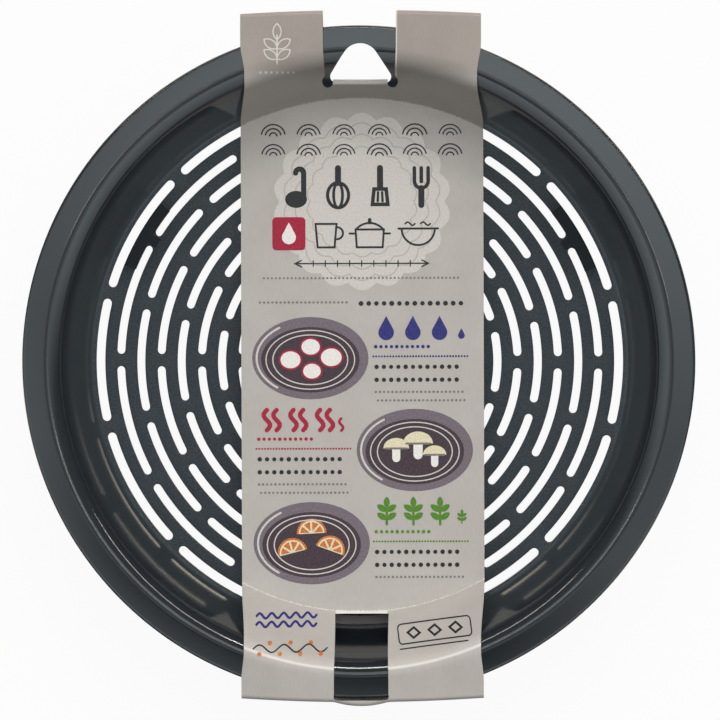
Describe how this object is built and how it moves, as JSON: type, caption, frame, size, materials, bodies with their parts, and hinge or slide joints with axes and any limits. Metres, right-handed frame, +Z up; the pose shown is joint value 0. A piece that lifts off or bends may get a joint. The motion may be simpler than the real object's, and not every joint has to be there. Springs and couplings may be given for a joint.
{
  "type": "flat colander",
  "caption": "Round shallow colander moulded in dark plastic, slotted floor, three legs, wide rim with a hanging hole, in a folded card retail sleeve.",
  "frame": {"origin": "on the colander's axis, at the surface it stands on", "axes": "+Z up out of the bowl, +Y towards the hanging hole, +X to the right in the picture"},
  "size_m": [0.165, 0.1705, 0.0291],
  "materials": {
    "plastic": "moulded polypropylene, semi-gloss, dark blue-grey",
    "card": "uncoated warm grey card, matt"
  },
  "bodies": {
    "root": {"colander_body": "plastic", "card_sleeve": "card"}
  },
  "joints": []
}
